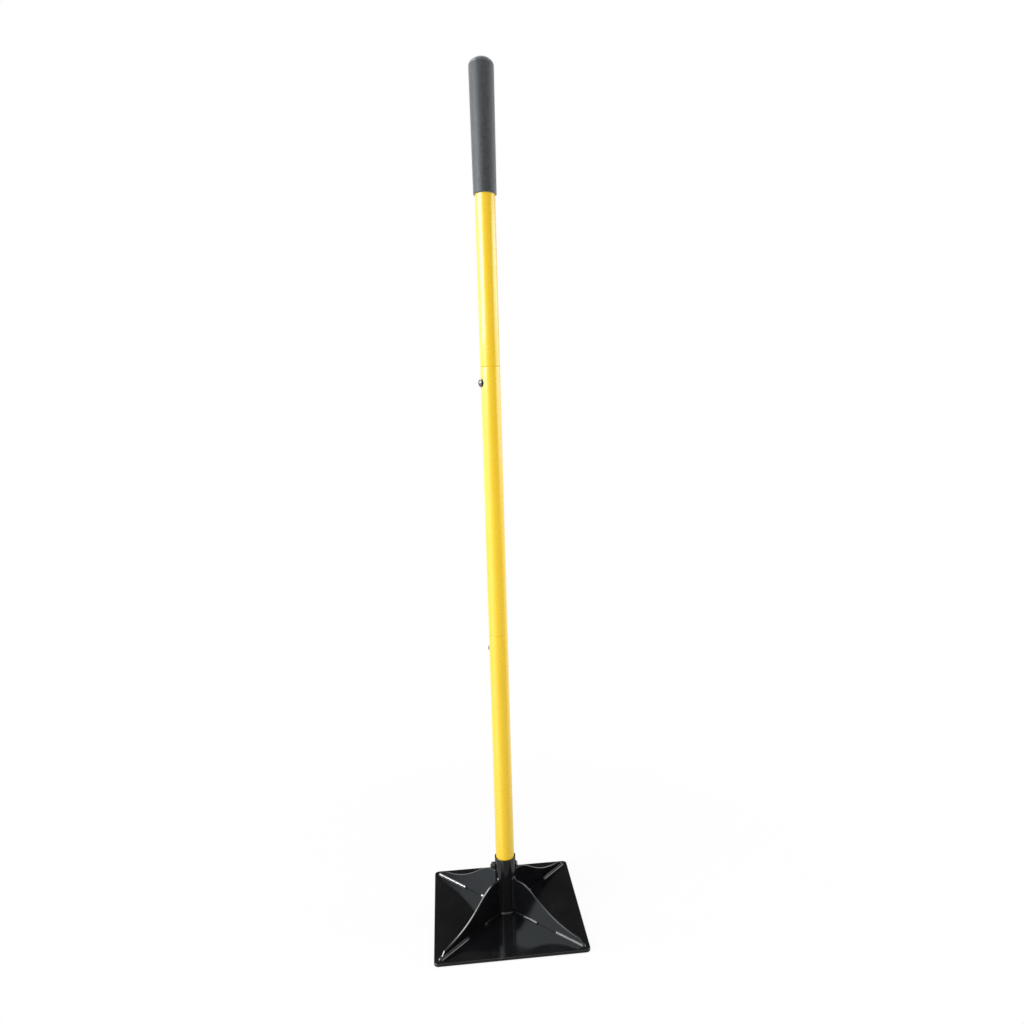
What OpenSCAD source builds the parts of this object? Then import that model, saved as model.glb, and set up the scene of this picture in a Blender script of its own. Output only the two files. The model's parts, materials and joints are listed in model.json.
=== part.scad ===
// Hand tamper: a square steel sole plate with four gussets and a socket, and a handle in three sections
// that snap buttons lock. Millimetres, +Z up. The origin is the middle of the plate's underside, and -Y
// is the front.

/* [Base plate] */
// Side of the square plate
plate_side = 203.2; // [160:0.1:260]
// Thickness of the plate
plate_thick = 4; // [3:0.5:8]
// Radius of the plate's corners
plate_corner_r = 6; // [3:0.5:15]

/* [Gussets] */
// Thickness of one gusset
gusset_thick = 2.5; // [2:0.1:5]
// Height of the flat shoulder above the plate
gusset_shoulder_h = 50; // [40:1:60]
// Length of the flat shoulder, from the socket outwards
gusset_shoulder_len = 9.5; // [4:0.5:16]
// Height of the toe above the plate
gusset_toe_h = 8.3; // [5:0.1:12]
// Run of the toe's sloped end
gusset_toe_run = 7; // [3:0.5:10]
// Distance from the toe's foot to the plate's rounded corner
gusset_toe_margin = 9.7; // [8:0.1:20]

/* [Socket] */
// Wall of the socket tube
socket_wall = 1.6; // [1.2:0.1:3]
// Height of the socket tube above the plate
socket_h = 80; // [72:1:120]
// Gap all round between the socket and the handle
socket_clear = 0.2; // [0.1:0.05:0.5]

/* [Cross bolt] */
// Height of the bolt's axis above the plate
bolt_h = 66; // [60:0.5:66]
// Diameter of the bolt
bolt_d = 6; // [4:0.5:8]
// Gap all round between the bolt and its holes
bolt_clear = 0.3; // [0.1:0.05:0.6]
// Diameter of the domed head
bolt_head_d = 10.5; // [9:0.1:14]
// Height of the domed head
bolt_head_h = 3.3; // [2:0.1:5]
// Width across the flats of the key hole in the head
bolt_key = 4; // [3:0.5:5]
// Depth of the key hole
bolt_key_depth = 2; // [1:0.1:2.5]
// Length of bolt that stands out of the nut
bolt_end = 1.5; // [0.5:0.1:4]
// Width of the nut across its flats
nut_af = 10; // [9.5:0.5:13]
// Height of the nut
nut_h = 5; // [3:0.1:7]
// Gap all round between the nut and the bolt
nut_clear = 0.05; // [0.02:0.01:0.1]

/* [Handle tubes] */
// Outside diameter of the handle
tube_od = 25.4; // [24:0.1:32]
// Wall of the handle tubes
tube_wall = 1.2; // [0.8:0.1:1.6]
// Length of one tube, with its reduced end
tube_len = 400; // [300:1:500]
// Length of the reduced end that enters the tube below
spigot_len = 50; // [40:1:80]
// Gap all round between a reduced end and the tube around it
spigot_clear = 0.15; // [0.1:0.01:0.3]
// Length of the taper inside a tube above its reduced end
spigot_neck = 3; // [2:0.5:8]
// Lead-in chamfer on the reduced end
spigot_lead = 0.6; // [0.2:0.1:0.7]
// Chamfer on the outer edges where two tubes meet
tube_edge = 0.6; // [0.2:0.1:0.8]

/* [Lock buttons] */
// Diameter of a button
button_d = 10.5; // [6:0.1:11]
// How far a button stands out of the handle
button_proud = 3.8; // [2:0.1:5]
// Height of the button's round end
button_dome_h = 3.3; // [1:0.1:3.6]
// Distance from a joint down to its button
button_drop = 20; // [15:0.5:25]
// Gap all round between a button and the hole in the outer tube
button_hole_clear = 0.4; // [0.2:0.05:0.8]
// Gap all round between a button and the hole in the reduced end
button_guide_clear = 0.2; // [0.1:0.05:0.3]
// Lip of the flange that keeps a button in
button_lip = 1.2; // [0.8:0.1:1.5]
// Thickness of that flange
button_flange = 1; // [0.6:0.1:1.5]
// Direction of the upper button, anticlockwise from +X
upper_lock_angle = 196; // [0:1:360]
// Direction of the lower button, anticlockwise from +X
lower_lock_angle = 138; // [0:1:360]

/* [Lock springs] */
// Width of the spring strip
spring_w = 8; // [5:0.5:10]
// Thickness of the spring strip
spring_thick = 0.6; // [0.4:0.1:0.8]
// Height from the button's axis to the middle of the bend
spring_rise = 34; // [25:1:45]
// Radius of the bend at the middle of the strip
spring_bend_r = 2.5; // [1.5:0.1:3.5]
// Half the length of the flat pads at the ends of the strip
spring_pad = 6; // [4:0.5:8]
// Gap that keeps flange and spring clear of the tube
spring_clear = 0.1; // [0.05:0.01:0.3]

/* [Grip] */
// Length of the grip
grip_len = 155.5; // [100:0.5:200]
// Wall of the grip at its lower edge
grip_wall_low = 1.7; // [0.8:0.05:3]
// Wall of the grip at its upper end
grip_wall_top = 2.7; // [0.8:0.05:4]
// Thickness of rubber above the handle's end
grip_end = 11.5; // [6:0.5:15]
// Height of the grip's round end
grip_dome_h = 10; // [6:0.5:13]
// Gap all round between the grip and the handle
grip_clear = 0.05; // [0.02:0.01:0.2]

/* [Welds] */
// Leg of the beads along the gusset feet
foot_weld_leg = 2.4; // [2:0.1:4]
// Length of the inner beads
inner_weld_len = 35; // [20:1:38]
// Length of the outer beads, up to the gusset's toe
outer_weld_len = 48; // [25:1:54]
// Leg of the bead around the socket's foot
socket_weld_leg = 2.6; // [2:0.1:4]
// Radius of the upright beads between gusset and socket
upright_weld_r = 2.2; // [1.5:0.1:3]
// Gap between beads that don't run into each other
weld_gap = 0.5; // [0.3:0.1:2]

/* [Hidden] */
$fn = 96;

// Directions of the four gussets, anticlockwise from +X
front_left_angle = 225;
front_right_angle = 315;
back_left_angle = 135;
back_right_angle = 45;
GUSSET_ANGLES = [front_left_angle, front_right_angle, back_left_angle, back_right_angle];

// Colours
black_paint = [0.05, 0.05, 0.055];
yellow_paint = [0.95, 0.78, 0.16];
dark_steel = [0.3, 0.3, 0.31];
button_steel = [0.46, 0.45, 0.43];
spring_steel = [0.66, 0.66, 0.66];
grip_grey = [0.28, 0.3, 0.31];

// One overrun for every cut
over = 1;

// Handle and joints
tube_r = tube_od / 2;
tube_ir = tube_r - tube_wall;
spigot_r = tube_ir - spigot_clear;
spigot_ir = spigot_r - tube_wall;
lower_joint_z = plate_thick + tube_len;
upper_joint_z = lower_joint_z + tube_len - spigot_len;
handle_top_z = upper_joint_z + tube_len - spigot_len;

// Socket and bolt
socket_ir = tube_r + socket_clear;
socket_r = socket_ir + socket_wall;
socket_top_z = plate_thick + socket_h;
bolt_z = plate_thick + bolt_h;
bolt_hole_d = bolt_d + 2 * bolt_clear;

// Gusset outline: how far its curve follows the shoulder and the toe, as shares of its run and its drop
crown_share = 0.26;
sweep_share = 0.62;
rise_share = 0.157;
curve_steps = 36;
toe_foot_s = (plate_side / 2 - plate_corner_r) * sqrt(2) + plate_corner_r - gusset_toe_margin;
toe_top_s = toe_foot_s - gusset_toe_run;
shoulder_s = socket_r + gusset_shoulder_len;
shoulder_z = plate_thick + gusset_shoulder_h;
toe_z = plate_thick + gusset_toe_h;

// Welds, as distances from the axis
inner_weld_s = socket_r + socket_weld_leg + weld_gap;
outer_weld_s = toe_foot_s - outer_weld_len;

// Lock buttons, as distances from the axis along the button
button_r = button_d / 2;
button_tip = tube_r + button_proud;
button_flange_r = button_r + button_lip;
button_flange_top = sqrt(pow(spigot_ir, 2) - pow(button_flange_r, 2)) - spring_clear;
button_base = button_flange_top - button_flange;
button_dome_base = button_tip - button_dome_h;
button_dome_r = (pow(button_r, 2) + pow(button_dome_h, 2)) / (2 * button_dome_h);

// Lock springs, to the middle of the strip's thickness
spring_front = button_base - spring_thick / 2;
spring_back = sqrt(pow(spigot_ir, 2) - pow(spring_w / 2, 2)) - spring_clear - spring_thick / 2;
spring_mid = (spring_front - spring_back) / 2;
spring_bend_steps = 12;

// Grip
grip_ir = tube_r + grip_clear;
grip_low_r = grip_ir + grip_wall_low;
grip_top_r = grip_ir + grip_wall_top;
grip_top_z = handle_top_z + grip_end;
grip_low_z = grip_top_z - grip_len;
grip_dome_z = grip_top_z - grip_dome_h;
dome_steps = 16;

// Point on a cubic curve, at t from 0 to 1
function cubic(p, t) =
    pow(1 - t, 3) * p[0]
    + 3 * pow(1 - t, 2) * t * p[1]
    + 3 * (1 - t) * pow(t, 2) * p[2]
    + pow(t, 3) * p[3];

// Direction of a path at its point i
function heading(path, i) =
    let (a = path[max(i - 1, 0)], b = path[min(i + 1, len(path) - 1)])
    (b - a) / norm(b - a);

// Path moved sideways, to the left when d is positive
function beside(path, d) = [
    for (i = [0 : len(path) - 1])
    let (h = heading(path, i))
    path[i] + d * [-h[1], h[0]]
];

// Path in reverse order
function reversed(path) = [for (i = [len(path) - 1 : -1 : 0]) path[i]];

// Diameter of the circle through a hexagon's corners
function across_corners(flats) = flats / cos(30);

// Curved upper edge of a gusset, from its shoulder to its toe
function gusset_curve() =
    let (run = toe_top_s - shoulder_s, drop = shoulder_z - toe_z)
    let (a = [shoulder_s, shoulder_z], d = [toe_top_s, toe_z])
    let (b = a + [crown_share * run, 0], c = d + [-sweep_share * run, rise_share * drop])
    [for (i = [0 : curve_steps]) cubic([a, b, c, d], i / curve_steps)];

// Middle line of a lock spring: front pad, bend and back pad
function spring_path() = concat(
    [[spring_front, -spring_pad], [spring_front, spring_pad]],
    [
        for (i = [0 : spring_bend_steps])
        let (a = 180 * i / spring_bend_steps)
        [spring_mid + spring_bend_r * cos(a), spring_rise + spring_bend_r * sin(a)]
    ],
    [[-spring_back, spring_pad], [-spring_back, -spring_pad]]
);

// Flat blank of a gusset, standing on the plate along +X
module gusset_blank() {
    rotate([90, 0, 0])
        linear_extrude(gusset_thick, center = true)
            polygon(concat(
                [[0, plate_thick], [0, shoulder_z]],
                gusset_curve(),
                [[toe_foot_s, plate_thick]]
            ));
}

// Space that the socket takes up
module socket_space() {
    cylinder(h = socket_top_z + over, r = socket_r);
}

// Hole for a button, from the axis outwards
module button_hole(joint_z, angle, clear) {
    translate([0, 0, joint_z - button_drop])
        rotate([0, 90, angle])
            cylinder(h = tube_od, r = button_r + clear);
}

// Holes for the cross bolt, right through
module bolt_hole() {
    translate([-tube_od, 0, bolt_z])
        rotate([0, 90, 0])
            cylinder(h = 2 * tube_od, d = bolt_hole_d);
}

module base_plate() {
    reach = plate_side / 2 - plate_corner_r;
    color(black_paint)
        linear_extrude(plate_thick) {
            square([plate_side, 2 * reach], center = true);
            square([2 * reach, plate_side], center = true);
            for (x = [-reach, reach], y = [-reach, reach])
                translate([x, y]) circle(plate_corner_r);
        }
}

module gusset(angle) {
    color(black_paint)
        difference() {
            rotate(angle) gusset_blank();
            socket_space();
        }
}

// Quarter-round section of a foot bead
module foot_section() {
    intersection() {
        circle(foot_weld_leg);
        square(foot_weld_leg);
    }
}

// Straight bead along +X, between the plate and the left side of a gusset, with a round start
module foot_run(from, to) {
    translate([from, gusset_thick / 2, plate_thick]) {
        rotate([90, 0, 90]) linear_extrude(to - from) foot_section();
        rotate(90) rotate_extrude(angle = 90) foot_section();
    }
}

// Inner bead with round ends, and outer bead up to the toe
module foot_beads() {
    inner_from = inner_weld_s + foot_weld_leg;
    inner_to = inner_weld_s + inner_weld_len - foot_weld_leg;
    foot_run(inner_from, inner_to);
    translate([inner_to, gusset_thick / 2, plate_thick]) rotate_extrude(angle = 90) foot_section();
    foot_run(outer_weld_s + foot_weld_leg, toe_foot_s);
}

// Half turn that joins the outer beads round the toe
module toe_turn() {
    translate([toe_foot_s, 0, plate_thick])
        rotate(-90)
            rotate_extrude(angle = 180) {
                square([gusset_thick / 2, foot_weld_leg]);
                translate([gusset_thick / 2, 0]) foot_section();
            }
}

module gusset_foot_welds() {
    color(black_paint)
        for (angle = GUSSET_ANGLES)
            rotate(angle) {
                foot_beads();
                mirror([0, 1, 0]) foot_beads();
                toe_turn();
            }
}

// Upright beads at both sides of one gusset, along the socket; they meet over the shoulder
module upright_weld() {
    side = gusset_thick / 2;
    low_z = plate_thick + socket_weld_leg + weld_gap;
    for (y = [-side, side]) {
        translate([socket_r, y, low_z]) cylinder(h = shoulder_z - low_z, r = upright_weld_r);
        translate([socket_r, y, shoulder_z]) sphere(upright_weld_r);
    }
    translate([socket_r, 0, shoulder_z])
        rotate([90, 0, 0])
            cylinder(h = gusset_thick, r = upright_weld_r, center = true);
}

module gusset_socket_welds() {
    color(black_paint)
        for (angle = GUSSET_ANGLES)
            rotate(angle)
                difference() {
                    upright_weld();
                    gusset_blank();
                    socket_space();
                }
}

module socket_tube() {
    color(black_paint)
        difference() {
            translate([0, 0, plate_thick]) cylinder(h = socket_h, r = socket_r);
            translate([0, 0, plate_thick - over]) cylinder(h = socket_h + 2 * over, r = socket_ir);
            bolt_hole();
        }
}

// Fillet all round the socket's foot
module foot_ring() {
    rotate_extrude()
        intersection() {
            translate([socket_r, plate_thick]) circle(socket_weld_leg);
            translate([socket_r, plate_thick]) square(socket_weld_leg);
        }
}

// One arc of the fillet in each corner between two gussets
module socket_foot_weld() {
    side = gusset_thick / 2;
    corner = socket_r + 2 * socket_weld_leg;
    color(black_paint)
        for (angle = GUSSET_ANGLES)
            rotate(angle)
                intersection() {
                    foot_ring();
                    translate([side, side, 0]) cube([corner, corner, plate_thick + 2 * socket_weld_leg]);
                }
}

// Domed head with a key hole on the right, shank to beyond the nut on the left
module socket_bolt() {
    dome_r = (pow(bolt_head_d / 2, 2) + pow(bolt_head_h, 2)) / (2 * bolt_head_h);
    head_top = socket_r + bolt_head_h;
    color(dark_steel)
        translate([0, 0, bolt_z])
            rotate([0, 90, 0])
                difference() {
                    union() {
                        translate([0, 0, -socket_r - nut_h - bolt_end])
                            cylinder(h = 2 * socket_r + nut_h + bolt_end, d = bolt_d);
                        translate([0, 0, socket_r])
                            intersection() {
                                cylinder(h = bolt_head_h, d = bolt_head_d);
                                translate([0, 0, bolt_head_h - dome_r]) sphere(dome_r);
                            }
                    }
                    translate([0, 0, head_top - bolt_key_depth])
                        cylinder(h = bolt_key_depth + over, d = across_corners(bolt_key), $fn = 6);
                }
}

module socket_nut() {
    color(dark_steel)
        translate([-socket_r, 0, bolt_z])
            rotate([0, -90, 0])
                difference() {
                    cylinder(h = nut_h, d = across_corners(nut_af), $fn = 6);
                    translate([0, 0, -over]) cylinder(h = nut_h + 2 * over, d = bolt_d + 2 * nut_clear);
                }
}

module lower_tube() {
    color(yellow_paint)
        difference() {
            rotate_extrude()
                polygon([
                    [tube_ir, plate_thick],
                    [tube_r, plate_thick],
                    [tube_r, lower_joint_z - tube_edge],
                    [tube_r - tube_edge, lower_joint_z],
                    [tube_ir, lower_joint_z]
                ]);
            bolt_hole();
            button_hole(lower_joint_z, lower_lock_angle, button_hole_clear);
        }
}

// Tube with a reduced end below joint_z and a plain end above it
module spigot_tube(joint_z, angle) {
    top = tube_len - spigot_len;
    difference() {
        translate([0, 0, joint_z])
            rotate_extrude()
                polygon([
                    [spigot_ir, -spigot_len],
                    [spigot_r - spigot_lead, -spigot_len],
                    [spigot_r, spigot_lead - spigot_len],
                    [spigot_r, 0],
                    [tube_r - tube_edge, 0],
                    [tube_r, tube_edge],
                    [tube_r, top - tube_edge],
                    [tube_r - tube_edge, top],
                    [tube_ir, top],
                    [tube_ir, spigot_neck],
                    [spigot_ir, 0]
                ]);
        button_hole(joint_z, angle, button_guide_clear);
    }
}

module middle_tube() {
    color(yellow_paint)
        difference() {
            spigot_tube(lower_joint_z, lower_lock_angle);
            button_hole(upper_joint_z, upper_lock_angle, button_hole_clear);
        }
}

module upper_tube() {
    color(yellow_paint) spigot_tube(upper_joint_z, upper_lock_angle);
}

// Button with a domed tip and a flange behind the reduced end's wall
module lock_button(joint_z, angle) {
    color(button_steel)
        translate([0, 0, joint_z - button_drop])
            rotate([0, 90, angle]) {
                translate([0, 0, button_base]) cylinder(h = button_flange, r = button_flange_r);
                translate([0, 0, button_base]) cylinder(h = button_dome_base - button_base, r = button_r);
                intersection() {
                    translate([0, 0, button_dome_base]) cylinder(h = button_dome_h, r = button_r);
                    translate([0, 0, button_tip - button_dome_r]) sphere(button_dome_r);
                }
            }
}

// Strip bent double, with one pad behind the button and the other against the far wall
module lock_spring(joint_z, angle) {
    path = spring_path();
    color(spring_steel)
        translate([0, 0, joint_z - button_drop])
            rotate([90, 0, angle])
                linear_extrude(spring_w, center = true)
                    polygon(concat(
                        beside(path, spring_thick / 2),
                        reversed(beside(path, -spring_thick / 2))
                    ));
}

module handle_grip() {
    dome = [
        for (i = [0 : dome_steps])
        let (a = 90 * i / dome_steps)
        [grip_top_r * cos(a), grip_dome_z + grip_dome_h * sin(a)]
    ];
    color(grip_grey)
        rotate_extrude()
            polygon(concat(
                [[0, handle_top_z], [grip_ir, handle_top_z]],
                [[grip_ir, grip_low_z], [grip_low_r, grip_low_z]],
                dome
            ));
}

base_plate();
gusset(front_left_angle);  // gusset_front_left
gusset(front_right_angle);  // gusset_front_right
gusset(back_left_angle);  // gusset_back_left
gusset(back_right_angle);  // gusset_back_right
gusset_foot_welds();
gusset_socket_welds();
socket_tube();
socket_foot_weld();
socket_bolt();
socket_nut();
lower_tube();
middle_tube();
upper_tube();
lock_button(lower_joint_z, lower_lock_angle);  // lower_lock_button
lock_spring(lower_joint_z, lower_lock_angle);  // lower_lock_spring
lock_button(upper_joint_z, upper_lock_angle);  // upper_lock_button
lock_spring(upper_joint_z, upper_lock_angle);  // upper_lock_spring
handle_grip();
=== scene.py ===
# %% [markdown]
# # A hand tamper
#
# This tool packs gravel and soil under paving. It is a square steel plate with four gussets and a socket,
# and a long yellow handle in three sections with a rubber grip. The frame already holds every piece at its
# true size and place, in metres, with +Z up and the front towards -Y. So this lesson only gives the pieces
# what a drawing leaves out: rounded edges, weld beads, paint, rubber, light and a camera.

# %% Load the frame
import json
import math

import bmesh
import bpy
from mathutils import Matrix, Vector, noise


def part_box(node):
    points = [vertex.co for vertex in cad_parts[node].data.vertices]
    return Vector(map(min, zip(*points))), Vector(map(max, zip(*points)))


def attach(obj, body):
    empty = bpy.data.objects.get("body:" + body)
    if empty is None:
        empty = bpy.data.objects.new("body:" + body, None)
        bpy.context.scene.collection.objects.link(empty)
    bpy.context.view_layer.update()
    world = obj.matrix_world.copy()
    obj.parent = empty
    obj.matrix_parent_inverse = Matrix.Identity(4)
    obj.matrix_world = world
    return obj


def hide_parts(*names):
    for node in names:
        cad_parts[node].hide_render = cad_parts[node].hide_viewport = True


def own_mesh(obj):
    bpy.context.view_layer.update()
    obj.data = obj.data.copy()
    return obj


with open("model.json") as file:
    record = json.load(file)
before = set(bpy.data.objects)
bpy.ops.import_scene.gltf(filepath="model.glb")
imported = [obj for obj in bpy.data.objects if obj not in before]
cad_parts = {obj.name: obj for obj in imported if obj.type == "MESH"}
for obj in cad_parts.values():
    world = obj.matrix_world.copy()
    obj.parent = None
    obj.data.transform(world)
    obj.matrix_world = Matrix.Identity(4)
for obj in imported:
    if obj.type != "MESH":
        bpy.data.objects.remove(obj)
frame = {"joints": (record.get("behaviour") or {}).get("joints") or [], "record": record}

MM = 0.001
scene = bpy.context.scene
scene.view_settings.view_transform = "Standard"
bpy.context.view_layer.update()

# %% [markdown]
# ## Camera
#
# The photographer stood about a metre away with a short lens, a little left of the handle and just above
# its middle. That is why the grip looks as wide as the foot of the handle and why both ends lean. A camera
# can be turned by three angles, but a place, a point to look at and a small roll read better. The shift
# slides the picture without turning the camera, as a crop of the photograph would.

# %% Camera
camera_place = Vector((-64.7, -975.0, 684.1)) * MM
camera_aim = Vector((38.0, 0, 533.4)) * MM
camera_roll = math.radians(-1.409)

camera_lens = bpy.data.cameras.new("camera")
camera_lens.sensor_width = 36
camera_lens.lens = 26.47
camera_lens.shift_x = -0.0119
camera_lens.shift_y = 0.0250
camera = bpy.data.objects.new("camera", camera_lens)
turn_to_aim = (camera_aim - camera_place).to_track_quat("-Z", "Y").to_matrix().to_4x4()
roll = Matrix.Rotation(camera_roll, 4, "Z")
camera.matrix_world = Matrix.Translation(camera_place) @ turn_to_aim @ roll
scene.collection.objects.link(camera)
scene.camera = camera
print("camera", round((camera_aim - camera_place).length, 3), "m from the point that it looks at")

# %% [markdown]
# ## Measures
#
# A piece that is built beside the frame has to fit it, so its sizes are read from the frame's own boxes
# where a box shows them. Typing them again would work too, until the frame changes. What a box can't show,
# such as the wall of a tube, is named further down, beside the piece that needs it.

# %% Measures
plate_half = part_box("base_plate")[1].x
plate_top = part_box("base_plate")[1].z
socket_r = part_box("socket_tube")[1].x
socket_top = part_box("socket_tube")[1].z
tube_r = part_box("upper_tube")[1].x
lower_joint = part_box("lower_tube")[1].z
upper_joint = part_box("middle_tube")[1].z
handle_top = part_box("upper_tube")[1].z
spigot_len = lower_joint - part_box("middle_tube")[0].z
print("plate side", round(2 * plate_half, 4), "socket radius", round(socket_r, 4))
print("handle radius", round(tube_r, 4), "handle top", round(handle_top, 4))

# %% [markdown]
# ## Finishes
#
# Every finish starts from the same shader and adds patterns to it: a noise for slow changes of colour and
# gloss, and a finer one for the relief that a finger would feel. A photograph of paint could be wrapped
# round a piece instead, but it would blur up close. The patterns follow the object's own coordinates in
# metres, so a scale of 500 gives grains of about 2 mm on every piece. Each helper adds a node or two and
# hands on the output, which keeps the recipes below short.

# %% Helpers for finishes
finishes = {}
noise_low, noise_high = 0.3, 0.7


def new_finish(name):
    """Starts a finish: its node tree, its shader and the coordinates that its patterns follow."""
    material = bpy.data.materials.new(name)
    material.use_nodes = True
    finishes[name] = material
    tree = material.node_tree
    place = tree.nodes.new("ShaderNodeTexCoord").outputs["Object"]
    return tree, tree.nodes["Principled BSDF"], place


def grain(tree, place, scale, detail, stretch=(1, 1, 1)):
    """Noise with about `scale` grains a metre, drawn out where stretch is small."""
    mapping = tree.nodes.new("ShaderNodeMapping")
    mapping.inputs["Scale"].default_value = stretch
    pattern = tree.nodes.new("ShaderNodeTexNoise")
    pattern.inputs["Scale"].default_value = scale
    pattern.inputs["Detail"].default_value = detail
    tree.links.new(place, mapping.inputs["Vector"])
    tree.links.new(mapping.outputs["Vector"], pattern.inputs["Vector"])
    return pattern.outputs["Fac"]


def between(tree, value, low, high, start=noise_low, end=noise_high):
    """A number that goes from low to high as the value goes from start to end."""
    node = tree.nodes.new("ShaderNodeMapRange")
    node.inputs["From Min"].default_value = start
    node.inputs["From Max"].default_value = end
    node.inputs["To Min"].default_value = low
    node.inputs["To Max"].default_value = high
    tree.links.new(value, node.inputs["Value"])
    return node.outputs["Result"]


def tint(tree, value, dark, light):
    """A colour that goes from dark to light with a noise."""
    node = tree.nodes.new("ShaderNodeValToRGB")
    node.color_ramp.elements[0].position = noise_low
    node.color_ramp.elements[0].color = (*dark, 1)
    node.color_ramp.elements[1].position = noise_high
    node.color_ramp.elements[1].color = (*light, 1)
    tree.links.new(value, node.inputs["Fac"])
    return node.outputs["Color"]


def relief(tree, height, depth):
    """Bumps of that depth in metres."""
    node = tree.nodes.new("ShaderNodeBump")
    node.inputs["Distance"].default_value = depth
    tree.links.new(height, node.inputs["Height"])
    return node.outputs["Normal"]


print("helpers for finishes are ready")

# %% [markdown]
# ### Black paint
#
# The welded foot of the tool is dipped or sprayed in gloss black. Such paint is nearly a mirror, so most of
# what it shows is the room. Two things make it paint and not glass: a faint orange peel, which ripples
# every reflection, and the edges, which are painted a lighter grey that is partly paint pulling thin there
# and partly a painted highlight. The shader could look for edges by itself, but only in some renderers, so
# the mesh code marks them with a value called rim.

# %% Black paint
tree, shader, place = new_finish("black_paint")
cloud = grain(tree, place, scale=22, detail=4)
peel = grain(tree, place, scale=380, detail=2)
rim = tree.nodes.new("ShaderNodeAttribute")
rim.attribute_name = "rim"
full_coat = tint(tree, cloud, dark=(0.0040, 0.0042, 0.0050), light=(0.0065, 0.0068, 0.0078))
# The edges get a lighter grey: partly paint that pulls thin there, partly a painted highlight.
thin_coat_highlight = tint(tree, peel, dark=(0.008, 0.008, 0.009), light=(0.024, 0.024, 0.026))
coat = tree.nodes.new("ShaderNodeMix")
coat.data_type = "RGBA"
tree.links.new(rim.outputs["Fac"], coat.inputs["Factor"])
tree.links.new(full_coat, coat.inputs["A"])
tree.links.new(thin_coat_highlight, coat.inputs["B"])
tree.links.new(coat.outputs["Result"], shader.inputs["Base Color"])
tree.links.new(between(tree, cloud, low=0.07, high=0.15), shader.inputs["Roughness"])
tree.links.new(relief(tree, peel, depth=0.05 * MM), shader.inputs["Normal"])
shader.inputs["IOR"].default_value = 1.52
print("black paint has", len(tree.nodes), "nodes")

# %% [markdown]
# ### Yellow paint
#
# The handle is steel tube with a baked yellow enamel. It is less of a mirror than the black, because its
# own colour is bright, but a clear top layer still draws pale streaks along the tube. One roughness gives
# either the streaks or the soft glow beside them. A second, sharper coat over a softer base gives both.

# %% Yellow paint
tree, shader, place = new_finish("yellow_paint")
cloud = grain(tree, place, scale=14, detail=3, stretch=(1, 1, 0.3))
peel = grain(tree, place, scale=130, detail=1)
colour = tint(tree, cloud, dark=(0.90, 0.580, 0.018), light=(0.95, 0.626, 0.025))
tree.links.new(colour, shader.inputs["Base Color"])
tree.links.new(between(tree, peel, low=0.22, high=0.30), shader.inputs["Roughness"])
tree.links.new(relief(tree, peel, depth=0.004 * MM), shader.inputs["Normal"])
shader.inputs["Coat Weight"].default_value = 0.7
shader.inputs["Coat Roughness"].default_value = 0.08
print("yellow paint has", len(tree.nodes), "nodes")

# %% [markdown]
# ### Grip rubber
#
# The grip is a soft moulded sleeve, dark grey and matte, with a fine grain. Seen edge on, its fuzz of tiny
# bumps catches light, so the sides of the grip look paler than its middle. A lighter colour would lift the
# middle too. Sheen is the shader's own way to lift the sides alone.

# %% Grip rubber
tree, shader, place = new_finish("grip_rubber")
mottle = grain(tree, place, scale=260, detail=5)
pores = grain(tree, place, scale=1100, detail=3)
colour = tint(tree, mottle, dark=(0.012, 0.014, 0.015), light=(0.037, 0.041, 0.044))
tree.links.new(colour, shader.inputs["Base Color"])
tree.links.new(between(tree, mottle, low=0.42, high=0.62), shader.inputs["Roughness"])
tree.links.new(relief(tree, pores, depth=0.18 * MM), shader.inputs["Normal"])
shader.inputs["Sheen Weight"].default_value = 0.7
shader.inputs["Sheen Roughness"].default_value = 0.5
shader.inputs["Sheen Tint"].default_value = (0.9, 0.95, 1.0, 1)
print("grip rubber has", len(tree.nodes), "nodes")

# %% [markdown]
# ### Steel
#
# Bolt and nut are blackened steel, the lock buttons are dark and polished, and the springs are bare spring
# steel. Three recipes could be written, but all are one metal with another colour and gloss: fine scratches
# in the gloss and a slow change in the colour.

# %% Steel
def steel(name, dark, light, smooth, rough):
    """Metal between two colours and two roughnesses, scratched along the tool."""
    tree, shader, place = new_finish(name)
    cloud = grain(tree, place, scale=160, detail=4)
    scratches = grain(tree, place, scale=700, detail=5, stretch=(1, 1, 0.15))
    tree.links.new(tint(tree, cloud, dark, light), shader.inputs["Base Color"])
    tree.links.new(between(tree, scratches, smooth, rough), shader.inputs["Roughness"])
    tree.links.new(relief(tree, scratches, depth=0.01 * MM), shader.inputs["Normal"])
    shader.inputs["Metallic"].default_value = 1


steel("dark_steel", dark=(0.075, 0.077, 0.085), light=(0.13, 0.13, 0.14), smooth=0.28, rough=0.45)
steel("button_metal", dark=(0.105, 0.102, 0.094), light=(0.165, 0.161, 0.149), smooth=0.14, rough=0.26)
steel("spring_steel", dark=(0.30, 0.30, 0.31), light=(0.42, 0.42, 0.43), smooth=0.25, rough=0.40)
print("finishes", sorted(finishes))

# %% [markdown]
# ## Building meshes
#
# Nearly every piece here is a stack of rings: a turned tube is a stack of circles, a plate is a stack of
# outlines that shrink towards its faces, and a weld bead is a stack of small sections along a line. So one
# helper skins rings with faces and the rest only work out where the rings go. A primitive with a bevel
# would be quicker, but its rounded edges would not be ours to shape.

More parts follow.
